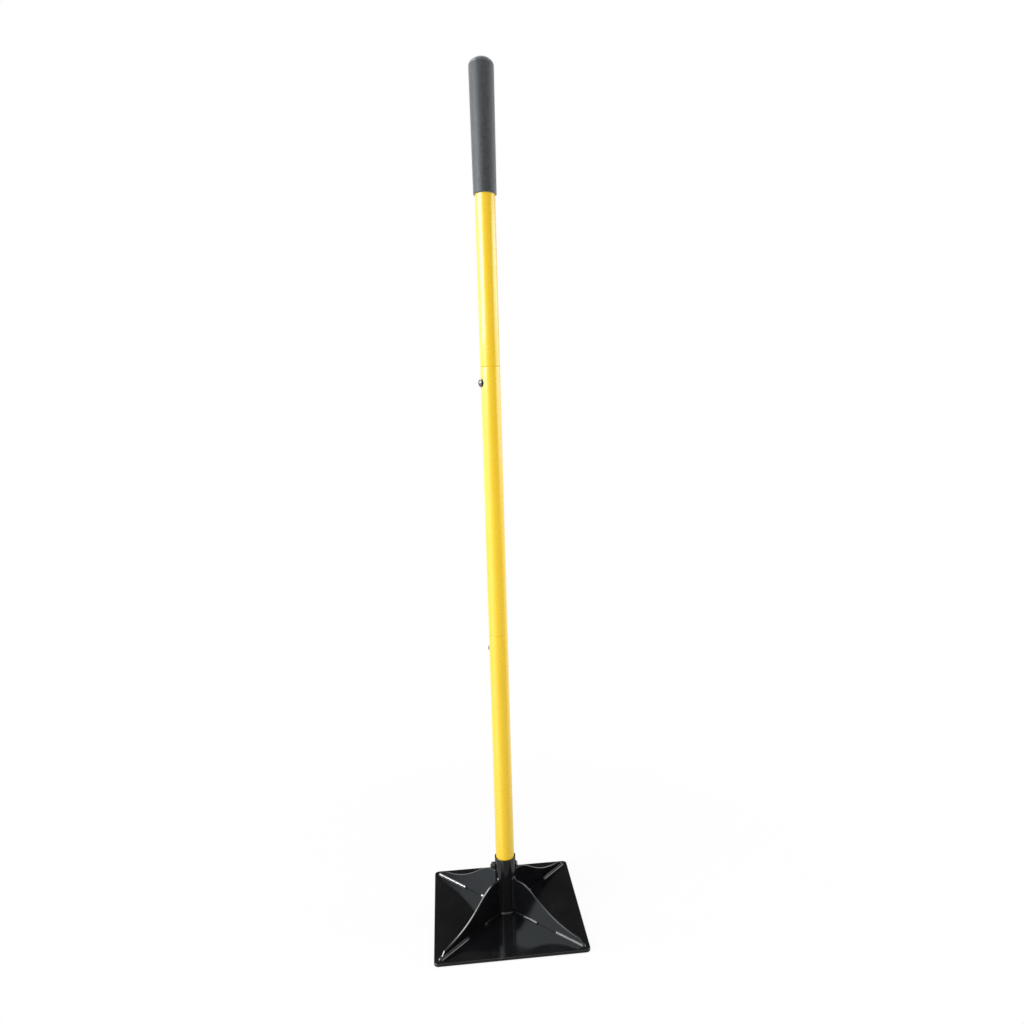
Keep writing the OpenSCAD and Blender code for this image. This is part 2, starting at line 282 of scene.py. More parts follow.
# %% Helpers for meshes
def skin(bm, rings, looped=False):
    """Faces from ring to ring. A ring of one point is a pole, and the open ends are capped."""
    made = [[bm.verts.new(point) for point in ring] for ring in rings]
    pairs = list(zip(made, made[1:]))
    if looped:
        pairs.append((made[-1], made[0]))
    for here, there in pairs:
        for k in range(max(len(here), len(there))):
            around_face = ((here, k), (here, k + 1), (there, k + 1), (there, k))
            corners = [ring[i % len(ring)] for ring, i in around_face]
            bm.faces.new(list(dict.fromkeys(corners)))
    if not looped:
        for ring in (made[0], made[-1]):
            if len(ring) > 1:
                bm.faces.new(ring)
    return made


def smooth_over(mesh, sharp=35):
    """Smooth shading but for edges that bend by more than `sharp` degrees."""
    mesh.shade_smooth()
    mesh.set_sharp_from_angle(angle=math.radians(sharp))


def piece_of(name, bm, sharp=35):
    """An object from built faces."""
    bmesh.ops.recalc_face_normals(bm, faces=bm.faces)
    mesh = bpy.data.meshes.new(name)
    bm.to_mesh(mesh)
    bm.free()
    smooth_over(mesh, sharp)
    piece = bpy.data.objects.new(name, mesh)
    scene.collection.objects.link(piece)
    return piece


slot_of = {part["node"]: part["material_slot"] for part in frame["record"]["subparts"]}


def dress(piece, node, body="tool"):
    """Lets the piece stand for a node of the frame, with the node's finish and motion."""
    piece.data.materials.clear()
    piece.data.materials.append(finishes[slot_of[node]])
    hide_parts(node)
    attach(piece, body)
    print(piece.name, "stands for", node, "with", len(piece.data.polygons), "faces")
    return piece


print("helpers for meshes are ready,", len(slot_of), "nodes have a finish")

# %% [markdown]
# ## Sole plate
#
# The plate is cut from sheet steel, with round corners and edges that the paint softens. Its outline is
# four corners, each with a radius, and the slab is that outline repeated: inset at the underside, full size
# up the side and inset again at the top. One more ring just inside the flat faces keeps their shading flat.
# A cube with a bevel would look much the same, but here the edges can carry the rim value for the paint.

# %% Sole plate
def softened(corners, steps=8):
    """Closed outline through corners (x, y, radius), each rounded by its own radius."""
    outline = []
    for i, (x, y, radius) in enumerate(corners):
        here = Vector((x, y))
        if radius == 0:
            outline.append(here)
            continue
        back = (Vector(corners[i - 1][:2]) - here).normalized()
        ahead = (Vector(corners[(i + 1) % len(corners)][:2]) - here).normalized()
        half = back.angle(ahead) / 2
        centre = here + (back + ahead).normalized() * (radius / math.sin(half))
        arm = here + back * (radius / math.tan(half)) - centre
        turn = math.copysign(math.pi - 2 * half, -back.cross(ahead))
        outline += [centre + Matrix.Rotation(turn * k / steps, 2) @ arm for k in range(steps + 1)]
    return outline


def inset(outline, distance):
    """An anticlockwise outline, moved inwards."""
    moved = []
    for i, here in enumerate(outline):
        back = (here - outline[i - 1]).normalized()
        ahead = (outline[(i + 1) % len(outline)] - here).normalized()
        inwards = Vector((-back.y - ahead.y, back.x + ahead.x))
        moved.append(here + inwards * (distance / (1 + back.dot(ahead))))
    return moved


def slab(name, outline, low, high, edge_r, steps=5):
    """A flat piece between two heights, with rounded edges that carry the rim value."""
    turns = [math.pi / 2 * k / steps for k in range(steps + 1)]
    under = [(edge_r * (1 - math.sin(a)), low + edge_r * (1 - math.cos(a))) for a in turns]
    over = [(depth, low + high - height) for depth, height in reversed(under)]
    stack = [(2 * edge_r, low), *under, *over, (2 * edge_r, high)]
    bm = bmesh.new()
    rim = bm.verts.layers.float.new("rim")
    rings = skin(bm, [[(p.x, p.y, height) for p in inset(outline, depth)] for depth, height in stack])
    for ring, (depth, height) in zip(rings, stack):
        for vert in ring:
            vert[rim] = 1.0 if 0 < depth < edge_r else 0.0
    return piece_of(name, bm)


plate_corner_r = 6 * MM
plate_edge_r = 0.6 * MM

signs = ((-1, -1), (1, -1), (1, 1), (-1, 1))
square = [(x * plate_half, y * plate_half, plate_corner_r) for x, y in signs]
dress(slab("sole_plate", softened(square), 0, plate_top, plate_edge_r), "base_plate")

# %% [markdown]
# ## Gussets
#
# Four ribs of thinner sheet brace the socket along the plate's diagonals. Each has a short flat shoulder at
# the socket, sweeps down in one curve and ends in a low sloped toe. A triangle would brace as well, but the
# sweep is what the eye knows. The curve is a cubic with a handle at either end, as in any drawing program.
# The slab helper cuts all four, which are then stood up and turned.

# %% Gussets
gusset_angles = {"front_left": 225, "front_right": 315, "back_left": 135, "back_right": 45}
gusset_thick = 2.5 * MM
gusset_side = gusset_thick / 2
gusset_edge_r = 0.45 * MM
shoulder_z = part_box("gusset_front_right")[1].z
shoulder_len = 9.5 * MM
shoulder_s = socket_r + shoulder_len
toe_slope_len = 7 * MM
toe_foot_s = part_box("gusset_front_right")[1].x * math.sqrt(2) - gusset_side
toe_top_s = toe_foot_s - toe_slope_len
toe_h = 8.3 * MM
toe_z = plate_top + toe_h
socket_overlap = 0.3 * MM
crown_share, sweep_share, rise_share = 0.26, 0.62, 0.157


def gusset_curve(steps=40):
    """The swept upper edge, from the shoulder to the toe."""
    run, drop = toe_top_s - shoulder_s, shoulder_z - toe_z
    start, end = Vector((shoulder_s, shoulder_z)), Vector((toe_top_s, toe_z))
    handle_a = start + Vector((crown_share * run, 0))
    handle_b = end + Vector((-sweep_share * run, rise_share * drop))
    points = []
    for t in (k / steps for k in range(steps + 1)):
        near_start = start * (1 - t) ** 3 + handle_a * 3 * t * (1 - t) ** 2
        points.append(near_start + handle_b * 3 * t * t * (1 - t) + end * t ** 3)
    return points


inner_s = socket_r - socket_overlap
foot = [Vector((inner_s, plate_top)), Vector((toe_foot_s, plate_top))]
gusset_outline = foot + gusset_curve()[::-1] + [Vector((inner_s, shoulder_z))]
stand_up = Matrix.Rotation(math.pi / 2, 4, "X")
for corner, angle in gusset_angles.items():
    gusset = slab(f"{corner}_gusset", gusset_outline, -gusset_side, gusset_side, gusset_edge_r, steps=4)
    gusset.data.transform(Matrix.Rotation(math.radians(angle), 4, "Z") @ stand_up)
    dress(gusset, f"gusset_{corner}")

# %% [markdown]
# ## Weld beads
#
# A welder lays a bead as a row of small overlapping puddles, so its face is a chain of shallow crescents.
# Painted over, it still catches the light as one bright line. A bead here follows the corner of two pieces.
# At each step it has a section with two legs, the upright one a little longer, and a slightly bulging face
# between them. The face rises and falls with the puddles, and the section shrinks at an open end. A smooth
# tube would be far fewer faces, but it would shine like wire.

# %% Bead helper
puddle = 1.9 * MM
puddle_share, crescent_share, bulge_share = 0.012, 0.45, 0.10
steepness = 1.17
usual_share, unsteady_share, end_share = 0.95, 0.08, 0.12
unsteady_len = 9 * MM
bead_step = 0.32 * MM
face_steps = 6
face_shares = [k / face_steps for k in range(face_steps + 1)]


def bead_size(way, length, leg, open_ends, seed):
    """Share of the full leg at a distance along the bead: tapered ends and an unsteady hand."""
    unsteady = usual_share + unsteady_share * noise.noise(Vector((way / unsteady_len, seed, 0)))
    if not open_ends:
        return unsteady
    end = min(1, min(way, length - way) / leg)
    return unsteady * max(end_share, math.sqrt(end * (2 - end)))


def lay_bead(bm, line, leg, reach, sink, to_place, seed, open_ends=True):
    """One bead along a line of (point, outward direction) pairs in a plane that to_place puts in space."""
    ways = [0]
    for (here, _), (there, _) in zip(line, line[1:]):
        ways.append(ways[-1] + (there - here).length)
    rings = []
    for (point, out), way in zip(line, ways):
        size = leg * bead_size(way, ways[-1], leg, open_ends, seed)
        face = []
        for share in face_shares:
            arch = 4 * share * (1 - share)
            ripple = abs(math.sin(math.pi * (way / puddle + crescent_share * arch))) - 1
            swell = size * (bulge_share * arch + puddle_share * ripple)
            face.append((size * (1 - share) + swell, steepness * size * share + swell))
        section = [(-reach, -sink), (face[0][0], -sink), *face, (-reach, face[-1][1])]
        rings.append([to_place(point + out * away, up) for away, up in section])
    skin(bm, rings)


def straight(start, end, out):
    """A straight line for a bead that faces out."""
    count = max(2, round((end - start).length / bead_step))
    return [(start.lerp(end, k / count), out) for k in range(count + 1)]


def around(centre, radius, start, end):
    """An arc for a bead that faces away from its centre."""
    count = max(8, round(abs(end - start) * (radius + puddle) / bead_step))
    angles = [start + (end - start) * k / count for k in range(count + 1)]
    outs = [Vector((math.cos(a), math.sin(a))) for a in angles]
    return [(centre + out * radius, out) for out in outs]


def hairpin(start, end):
    """Along one side of a gusset, round its end and back along the other side."""
    left, right = Vector((0, 1)), Vector((0, -1))
    go = straight(Vector((start, gusset_side)), Vector((end, gusset_side)), left)
    turn = around(Vector((end, 0)), gusset_side, math.pi / 2, -math.pi / 2)
    back = straight(Vector((end, -gusset_side)), Vector((start, -gusset_side)), right)
    return go[:-1] + turn + back[1:]


print("a bead has", len(face_shares) + 3, "points around it and a ring every", bead_step, "m")

# %% [markdown]
# The gusset feet are stitch welded: one short bead on either side near the socket and one long bead near
# the corner, which runs round the toe and back. One bead could be copied to all corners, but no two are
# quite as long, because a welder stops by eye. The beads sink a little into plate and gusset, as weld metal
# does, so no gap shows from any side.

# %% Welds along the gusset feet
foot_leg = 2.4 * MM
ring_leg = 2.6 * MM
weld_gap = 0.5 * MM
weld_sink = 0.3 * MM
reach_share = 0.95
weld_reach = reach_share * gusset_side
inner_start = socket_r + ring_leg + weld_gap
inner_len = {"front_left": 30 * MM, "front_right": 40 * MM, "back_left": 31 * MM, "back_right": 35 * MM}
outer_len = {"front_left": 52 * MM, "front_right": 45 * MM, "back_left": 55 * MM, "back_right": 48 * MM}
stitch_seed, toe_seed = 10, 20


def foot_place(angle):
    """Lays a bead on the plate, turned by an angle."""
    spin = Matrix.Rotation(math.radians(angle), 3, "Z")
    return lambda point, up: spin @ Vector((point.x, point.y, plate_top + up))


feet = bmesh.new()
for number, (corner, angle) in enumerate(gusset_angles.items()):
    to_place = foot_place(angle)
    inner_end, outer_start = inner_start + inner_len[corner], toe_foot_s - outer_len[corner]
    for side in (1, -1):
        start, end = Vector((inner_start, side * gusset_side)), Vector((inner_end, side * gusset_side))
        stitch = straight(start, end, Vector((0, side)))
        seed = stitch_seed + 2 * number + side
        lay_bead(feet, stitch, foot_leg, weld_reach, weld_sink, to_place, seed)
    toe_bead = hairpin(outer_start, toe_foot_s)
    lay_bead(feet, toe_bead, foot_leg, weld_reach, weld_sink, to_place, toe_seed + number)
dress(piece_of("foot_welds", feet, sharp=50), "gusset_foot_welds")

# %% [markdown]
# Each gusset also has a bead up the corner between it and the socket. It goes over the shoulder in a blob
# and comes down the other side, so it needs no new shape: it is the same hairpin stood on end, on a plane
# that touches the socket. The socket's own foot has four arcs, one in each corner between two gussets.

# %% Welds at the socket
upright_leg = 2.3 * MM
upright_low = plate_top + ring_leg + weld_gap
upright_sink = 0.8 * MM
ring_reach = 0.6 * MM
upright_seed, ring_seed = 30, 40


def upright_place(angle):
    """Stands a bead up against the socket, along a gusset."""
    spin = Matrix.Rotation(math.radians(angle), 3, "Z")
    return lambda point, up: spin @ Vector((socket_r + up, point.y, point.x))


uprights = bmesh.new()
foot_ring = bmesh.new()
gap_half = math.asin((gusset_side - weld_sink) / socket_r)
for number, angle in enumerate(gusset_angles.values()):
    climb = hairpin(upright_low, shoulder_z)
    to_place = upright_place(angle)
    lay_bead(uprights, climb, upright_leg, weld_reach, upright_sink, to_place, upright_seed + number)
    start = math.radians(angle) + gap_half
    arc = around(Vector((0, 0)), socket_r, start, start + math.pi / 2 - 2 * gap_half)
    seed = ring_seed + number
    lay_bead(foot_ring, arc, ring_leg, ring_reach, weld_sink, foot_place(0), seed, open_ends=False)
dress(piece_of("upright_welds", uprights, sharp=50), "gusset_socket_welds")
dress(piece_of("ring_weld", foot_ring, sharp=50), "socket_foot_weld")

# %% [markdown]
# ## Socket and handle tubes
#
# Tubes are turned: a closed outline of radius and height goes once round the axis. A solidify modifier on a
# plain cylinder would also give a wall, but not the rounded rims or the reduced ends that enter the next
# tube. Holes for the bolt and the buttons are cut afterwards with a boolean. Extra rings near a hole keep
# the faces there small, and points that a cut leaves almost on top of each other are merged.

# %% Turning and drilling
turn_steps, drill_steps = 96, 64
merge_gap = 0.002 * MM


def turned(name, profile, sharp=35, count=turn_steps):
    """A piece turned round the Z axis from (radius, height) points, closed on itself or at the axis."""
    rings = []
    for radius, height in profile:
        angles = [2 * math.pi * k / count for k in range(count if radius > 0 else 1)]
        rings.append([(radius * math.cos(a), radius * math.sin(a), height) for a in angles])
    bm = bmesh.new()
    skin(bm, rings, looped=profile[0][0] > 0)
    return piece_of(name, bm, sharp)


def aimed(start, direction):
    """Puts a piece that stands on the origin at start, pointing along direction."""
    return Matrix.Translation(start) @ direction.to_track_quat("Z", "Y").to_matrix().to_4x4()


def carve(piece, tool, operation="DIFFERENCE"):
    """Cuts the piece with a tool, which is then thrown away."""
    step = piece.modifiers.new("carve", "BOOLEAN")
    step.operation = operation
    step.solver = "EXACT"
    step.object = tool
    shaped = piece.evaluated_get(bpy.context.evaluated_depsgraph_get())
    mesh = bpy.data.meshes.new_from_object(shaped)
    piece.modifiers.clear()
    bm = bmesh.new()
    bm.from_mesh(mesh)
    bmesh.ops.remove_doubles(bm, verts=bm.verts, dist=merge_gap)
    bm.to_mesh(mesh)
    bm.free()
    piece.data = mesh
    smooth_over(mesh)
    bpy.data.objects.remove(tool)


def drill(piece, start, direction, radius, depth):
    """A round hole from start, along direction."""
    tool = turned("drill", [(0, 0), (radius, 0), (radius, depth), (0, depth)], count=drill_steps)
    tool.data.transform(aimed(start, direction))
    bpy.context.view_layer.update()
    carve(piece, tool)


def levels(radius, start, end, holes, spread=14 * MM, count=7):
    """Points up or down a straight wall, with a few more near each hole."""
    near = {hole + spread * (2 * k / (count - 1) - 1) for hole in holes for k in range(count)}
    low, high = min(start, end), max(start, end)
    inside = sorted(height for height in near if low < height < high)
    return [(radius, height) for height in (inside if end > start else inside[::-1])]


print("a turned piece has", turn_steps, "steps round its axis")

# %% [markdown]
# The socket is a short steel tube that stands on the plate, with one hole right through it for the bolt.
# Two cylinders, one cut out of the other, would give the same wall. Turned from one outline it needs a cut
# for the bolt alone, and its top rim can be rounded, which is where the light shows how thick the wall is.

# %% Socket
socket_wall = 1.6 * MM
socket_rim_r = 0.4 * MM
bolt_hole_r = 3.3 * MM
bolt_z = (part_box("socket_nut")[0].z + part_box("socket_nut")[1].z) / 2
to_right = Vector((1, 0, 0))

socket_ir = socket_r - socket_wall
edge = softened([
    (socket_ir, plate_top, 0),
    (socket_r, plate_top, 0),
    (socket_r, socket_top, socket_rim_r),
    (socket_ir, socket_top, socket_rim_r),
])
foot, rim = [tuple(point) for point in edge[:2]], [tuple(point) for point in edge[2:]]
outside = levels(socket_r, plate_top, socket_top, [bolt_z])
inside = levels(socket_ir, socket_top, plate_top, [bolt_z])
socket = turned("socket", foot + outside + rim + inside)
drill(socket, Vector((-2 * socket_r, 0, bolt_z)), to_right, bolt_hole_r, 4 * socket_r)
dress(socket, "socket_tube")

# %% [markdown]
# Each upper section narrows at its foot into a spigot that slides into the section below. A line painted on
# one long tube would look the same from afar, but a handle that comes apart needs real sections. The rims
# where two of them meet are rounded, which leaves the fine groove that marks a joint. A button's hole goes
# through the outer tube and, a little tighter, through the spigot inside it.

# %% Handle tubes
tube_wall = 1.2 * MM
tube_rim_r = 0.8 * MM
spigot_clear = 0.15 * MM
spigot_lead = 0.6 * MM
spigot_neck = 3 * MM
button_r = 5.25 * MM
hole_clear = 0.4 * MM
guide_clear = 0.2 * MM
same_radius = 0.001 * MM
tube_ir = tube_r - tube_wall
spigot_r = tube_ir - spigot_clear
spigot_ir = spigot_r - tube_wall

joint_of = {joint["child"]: joint for joint in frame["joints"]}
buttons = {}
for body, node in (("lower_button", "lower_lock_button"), ("upper_button", "upper_lock_button")):
    low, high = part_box(node)
    height = (low.z + high.z) / 2
    buttons[body] = (Vector((0, 0, height)), -Vector(joint_of[body]["axis"]).normalized())
print("buttons point", {body: [round(x, 3) for x in out] for body, (_, out) in buttons.items()})


def tube(name, low, high, has_spigot, holes):
    """One section of the handle, with or without a reduced end below its low joint."""
    ends = [(tube_ir, low, 0), (tube_r, low, 0)]
    if has_spigot:
        ends = [
            (spigot_ir, low, 0),
            (spigot_ir, low - spigot_len, 0),
            (spigot_r, low - spigot_len, spigot_lead),
            (spigot_r, low, 0),
            (tube_r, low, tube_rim_r),
        ]
    tops = [(tube_r, high, tube_rim_r), (tube_ir, high, tube_rim_r)]
    neck = [(tube_ir, low + spigot_neck, 0)] if has_spigot else []
    profile = [tuple(point) for point in softened(ends + tops + neck)]
    full = []
    for i, (radius, height) in enumerate(profile):
        full.append((radius, height))
        next_radius, next_height = profile[(i + 1) % len(profile)]
        if abs(next_radius - radius) < same_radius:
            full += levels(radius, height, next_height, holes)
    return turned(name, full)


lower_hole, upper_hole = buttons["lower_button"][0].z, buttons["upper_button"][0].z
lower_section = tube("lower_section", plate_top, lower_joint, False, [bolt_z, lower_hole])
middle_section = tube("middle_section", lower_joint, upper_joint, True, [lower_hole, upper_hole])
upper_section = tube("upper_section", upper_joint, handle_top, True, [upper_hole])
drill(lower_section, Vector((-2 * tube_r, 0, bolt_z)), to_right, bolt_hole_r, 4 * tube_r)
drill(lower_section, *buttons["lower_button"], button_r + hole_clear, 2 * tube_r)
drill(middle_section, *buttons["lower_button"], button_r + guide_clear, 2 * tube_r)
drill(middle_section, *buttons["upper_button"], button_r + hole_clear, 2 * tube_r)
drill(upper_section, *buttons["upper_button"], button_r + guide_clear, 2 * tube_r)
dress(lower_section, "lower_tube")
dress(middle_section, "middle_tube")
dress(upper_section, "upper_tube")

# %% [markdown]
# ## Lock buttons and springs
#
# A snap button is a steel stud with a domed tip and a flange that keeps it inside the tube. A ball on a
# cylinder would be quicker, but the dome is flatter than a ball and the flange would be missing. So the
# stud is turned like the tubes, from an outline that ends on the axis, and laid along its joint's own axis.

# %% Lock buttons
button_proud = 3.8 * MM
dome_h = 3.3 * MM
flange_lip = 1.2 * MM
flange_thick = 1 * MM
flange_edge_r = 0.2 * MM
spring_clear = 0.1 * MM
flange_r = button_r + flange_lip
flange_top = math.sqrt(spigot_ir ** 2 - flange_r ** 2) - spring_clear
button_base = flange_top - flange_thick
button_tip = tube_r + button_proud


def dome(radius, height, top, steps=14):
    """Points of a round cap from its edge to its pole, the pole at `top` on the axis."""
    ball = (radius ** 2 + height ** 2) / (2 * height)
    widest = math.asin(radius / ball)
    angles = [widest * (1 - k / steps) for k in range(steps)]
    return [(ball * math.sin(a), top - ball + ball * math.cos(a)) for a in angles] + [(0, top)]


for body, (centre, out) in buttons.items():
    stem = softened([
        (0, button_base, 0),
        (flange_r, button_base, flange_edge_r),
        (flange_r, flange_top, flange_edge_r),
        (button_r, flange_top, 0),
        (button_r, button_tip - dome_h, 0),
    ], steps=3)
    outline = [tuple(point) for point in stem] + dome(button_r, dome_h, button_tip)[1:]
    button = turned(body + "_stud", outline, sharp=45)
    button.data.transform(aimed(centre, out))
    dress(button, body.split("_")[0] + "_lock_button", body)

# %% [markdown]
# Behind each button sits a strip of spring steel, bent double, which pushes it out. When the button is
# pressed, the strip closes up. Bones could bend it, but inside the tube only its depth counts, so the strip
# is given as one fixed piece with a mesh of its own.

# %% Lock springs
spring_w = 8 * MM
spring_thick = 0.6 * MM
spring_edge_r = 0.15 * MM
spring_rise = 34 * MM
spring_bend_r = 2.5 * MM
spring_pad = 6 * MM
spring_front = button_base - spring_thick / 2
spring_back = math.sqrt(spigot_ir ** 2 - (spring_w / 2) ** 2) - spring_clear - spring_thick / 2
spring_mid = (spring_front - spring_back) / 2


def spring_line(steps=16):
    """Middle of the strip as (distance out, height): front pad, bend and back pad."""
    bend = []
    for turn in (math.pi * k / steps for k in range(steps + 1)):
        away, up = spring_bend_r * math.cos(turn), spring_bend_r * math.sin(turn)
        bend.append(Vector((spring_mid + away, spring_rise + up)))
    front = [Vector((spring_front, -spring_pad)), Vector((spring_front, spring_pad))]
    back = [Vector((-spring_back, spring_pad)), Vector((-spring_back, -spring_pad))]
    return front + bend + back


def spring_strip(name, centre, out):
    """A flat strip that follows the spring's line, its front pad towards out."""
    line = spring_line()
    across = Vector((0, 0, 1)).cross(out)
    half_w, half_t = spring_w / 2, spring_thick / 2
    section = softened([(x * half_w, y * half_t, spring_edge_r) for x, y in signs], steps=3)
    rings = []
    for i, here in enumerate(line):
        along = (line[min(i + 1, len(line) - 1)] - line[max(i - 1, 0)]).normalized()
        through = Vector((-along.y, along.x))
        spots = [(point.x, here + through * point.y) for point in section]
        rings.append([centre + across * x + out * spot.x + Vector((0, 0, spot.y)) for x, spot in spots])
    bm = bmesh.new()
    skin(bm, rings)
    return piece_of(name, bm)


for body, (centre, out) in buttons.items():
    side = body.split("_")[0]
    spring = dress(spring_strip(side + "_strip", centre, out), side + "_lock_spring")
    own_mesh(spring)

# %% [markdown]
# ## Bolt and nut
#
# One bolt goes through the socket and the handle, with a domed head on the right and a nut on the left. The
# head's key hole is a hexagon bar taken away. The thread is a row of grooves, because a true helix would
# look no different here.

# %% Bolt
bolt_r = 3 * MM
thread_pitch = 1 * MM
thread_depth = 0.5 * MM
thread_len = 12 * MM
head_r = (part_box("socket_bolt")[1].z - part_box("socket_bolt")[0].z) / 2
tail_x, head_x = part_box("socket_bolt")[0].x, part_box("socket_bolt")[1].x
head_h = head_x - socket_r
head_brim = 0.25 * MM
key_flats, key_depth = 4 * MM, 2 * MM


def hexagon_bar(name, flats, low, high):
    """A bar between two heights, with its flats that far apart."""
    corner_r = flats / math.sqrt(3)
    angles = [math.pi / 6 + math.pi / 3 * k for k in range(6)]
    corners = [(corner_r * math.cos(a), corner_r * math.sin(a)) for a in angles]
    bm = bmesh.new()
    skin(bm, [[(x, y, height) for x, y in corners] for height in (low, high)])
    return piece_of(name, bm)


under_head = socket_r - tail_x
head_top = under_head + head_h
profile = [(0, 0), (bolt_r - thread_depth, 0)]
for k in range(round(thread_len / thread_pitch)):
    start = thread_depth + k * thread_pitch
    profile += [(bolt_r, start), (bolt_r - thread_depth, start + thread_pitch / 2)]
profile += [(bolt_r, thread_depth + thread_len), (bolt_r, under_head), (head_r - head_brim, under_head)]
bolt = turned("cross_bolt", profile + dome(head_r, head_h, head_top)[1:])
carve(bolt, hexagon_bar("key", key_flats, head_top - key_depth, head_top + key_depth))
bolt.data.transform(aimed(Vector((tail_x, 0, bolt_z)), to_right))
dress(bolt, "socket_bolt")

# %% [markdown]
# A six-sided cylinder would do for a nut from afar. This one is the shape that a turned barrel and a
# hexagon bar have in common, which is how a real nut gets its curved chamfers.

# %% Nut
nut_flats = 10 * MM
nut_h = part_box("socket_nut")[1].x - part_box("socket_nut")[0].x
nut_clear, nut_mouth = 0.05 * MM, 0.4 * MM
face_share = 0.95
barrel_spare = 0.1 * MM
chamfer_angle = math.radians(30)
to_left = Vector((-1, 0, 0))

bore_r = bolt_r + nut_clear
mouth_r = bore_r + nut_mouth
face_r = face_share * nut_flats / 2
barrel_r = nut_flats / math.sqrt(3) + barrel_spare
chamfer = (barrel_r - face_r) * math.tan(chamfer_angle)
nut = turned("cross_nut", [
    (bore_r, nut_mouth), (mouth_r, 0), (face_r, 0), (barrel_r, chamfer),
    (barrel_r, nut_h - chamfer), (face_r, nut_h), (mouth_r, nut_h), (bore_r, nut_h - nut_mouth),
])
carve(nut, hexagon_bar("bar", nut_flats, -nut_h, 2 * nut_h), "INTERSECT")
nut.data.transform(aimed(Vector((-socket_r, 0, bolt_z)), to_left))
dress(nut, "socket_nut")

# %% [markdown]
# ## Grip
#
# The grip is a moulded rubber sleeve, a little wider at the top, with a closed round end. Its lower lip is
# rounded and a shallow ring marks where the round end begins. A long capsule would do for the outside, but
# lip, ring and bore are what make it a sleeve, so it is turned in one piece with them.

# %% Grip
grip_low_z, grip_top_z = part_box("handle_grip")[0].z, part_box("handle_grip")[1].z
grip_top_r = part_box("handle_grip")[1].x
grip_clear = 0.05 * MM
grip_low_wall = 1.7 * MM
grip_ir = tube_r + grip_clear
grip_low_r = grip_ir + grip_low_wall
lip_r = 0.8 * MM
dome_rise = 10 * MM
ring_share, ring_depth, ring_width = 0.3, 0.16 * MM, 0.5 * MM


def grip_end(steps=40):
    """Points of the round end, with a shallow ring part of the way up."""
    points = []
    for a in (math.pi / 2 * k / steps for k in range(steps)):
        ring = math.exp(-((math.sin(a) - ring_share) * dome_rise / ring_width) ** 2)
        radius, rise = grip_top_r * math.cos(a), dome_rise * math.sin(a)
        points.append((radius - ring_depth * ring, grip_top_z - dome_rise + rise))
    return points + [(0, grip_top_z)]


lip = softened([
    (grip_ir, handle_top, 0),
    (grip_ir, grip_low_z, lip_r),
    (grip_low_r, grip_low_z, lip_r),
    (grip_top_r, grip_top_z - dome_rise, 0),
])
grip = turned("grip_sleeve", [(0, handle_top), *[tuple(point) for point in lip[:-1]], *grip_end()])
dress(grip, "handle_grip")

# %% [markdown]
# ## Floor
#
# The tool stands on a plain white sheet that has no edge in the picture. Real paper would turn grey towards
# its far end, so the sheet glows white for the camera and for reflections. Near the plate, in the tool's
# shade, reflections see it dimmer, and a small share of real paper is mixed in to carry the soft shadow.
# Light that bounces on to the handle meets plain paper. So the paint has to choose by the kind of ray, with
# a few more helpers: the largest of several numbers is an "or", and their product is an "and".

# %% Helpers for choices
def joined(tree, operation, numbers):
    """Several numbers made into one, two at a time."""
    last = numbers[0]
    for number in numbers[1:]:
        node = tree.nodes.new("ShaderNodeMath")
        node.operation = operation
        tree.links.new(last, node.inputs[0])
        tree.links.new(number, node.inputs[1])
        last = node.outputs["Value"]
    return last


def any_of(tree, *numbers):
    """The largest of the numbers."""
    return joined(tree, "MAXIMUM", numbers)


def all_of(tree, *numbers):
    """The product of the numbers."""
    return joined(tree, "MULTIPLY", numbers)


def choose(tree, choice, usual, other):
    """The usual shader where the choice is 0 and the other one where it is 1."""
    mix = tree.nodes.new("ShaderNodeMixShader")
    for number, output in enumerate((choice, usual, other)):
        tree.links.new(output, mix.inputs[number])
    return mix.outputs["Shader"]


print("helpers for choices are ready")

# %% [markdown]
# The sheet is one flat face, a hair under the plate. A sheet that curves up into a backdrop is usual too,
# but behind the tool the world is white already. It ends just in front of the plate, so the plate's front
# edge and the socket don't mirror it there.

# %% Floor
sheet_left, sheet_right, sheet_back = -3.0, 3.0, 6.0
sheet_gap = 2 * MM
sheet_front = -plate_half - sheet_gap
floor_drop = 0.2 * MM
paper_white = (0.92, 0.92, 0.92, 1)
paper_share = 0.12
mirrored_near = 0.6
shade_near, shade_far = 0.16, 0.6

floor_white = bpy.data.materials.new("floor_white")
floor_white.use_nodes = True
tree = floor_white.node_tree
tree.nodes.remove(tree.nodes["Principled BSDF"])
rays = tree.nodes.new("ShaderNodeLightPath").outputs
seen = any_of(tree, rays["Is Camera Ray"], rays["Is Glossy Ray"], rays["Is Transmission Ray"])
distance = tree.nodes.new("ShaderNodeVectorMath")
distance.operation = "LENGTH"
tree.links.new(tree.nodes.new("ShaderNodeTexCoord").outputs["Object"], distance.inputs[0])
away = distance.outputs["Value"]
glowing = all_of(tree, seen, between(tree, away, 1 - paper_share, 1, shade_near, shade_far))
dimmed = between(tree, away, mirrored_near, 1, shade_near, shade_far)
mirrored = all_of(tree, rays["Is Glossy Ray"], dimmed)
paper = tree.nodes.new("ShaderNodeBsdfDiffuse")
paper.inputs["Color"].default_value = paper_white
white = tree.nodes.new("ShaderNodeEmission")
brightness = any_of(tree, rays["Is Camera Ray"], rays["Is Transmission Ray"], mirrored)
tree.links.new(brightness, white.inputs["Strength"])
surface = choose(tree, glowing, paper.outputs["BSDF"], white.outputs["Emission"])
tree.links.new(surface, tree.nodes["Material Output"].inputs["Surface"])

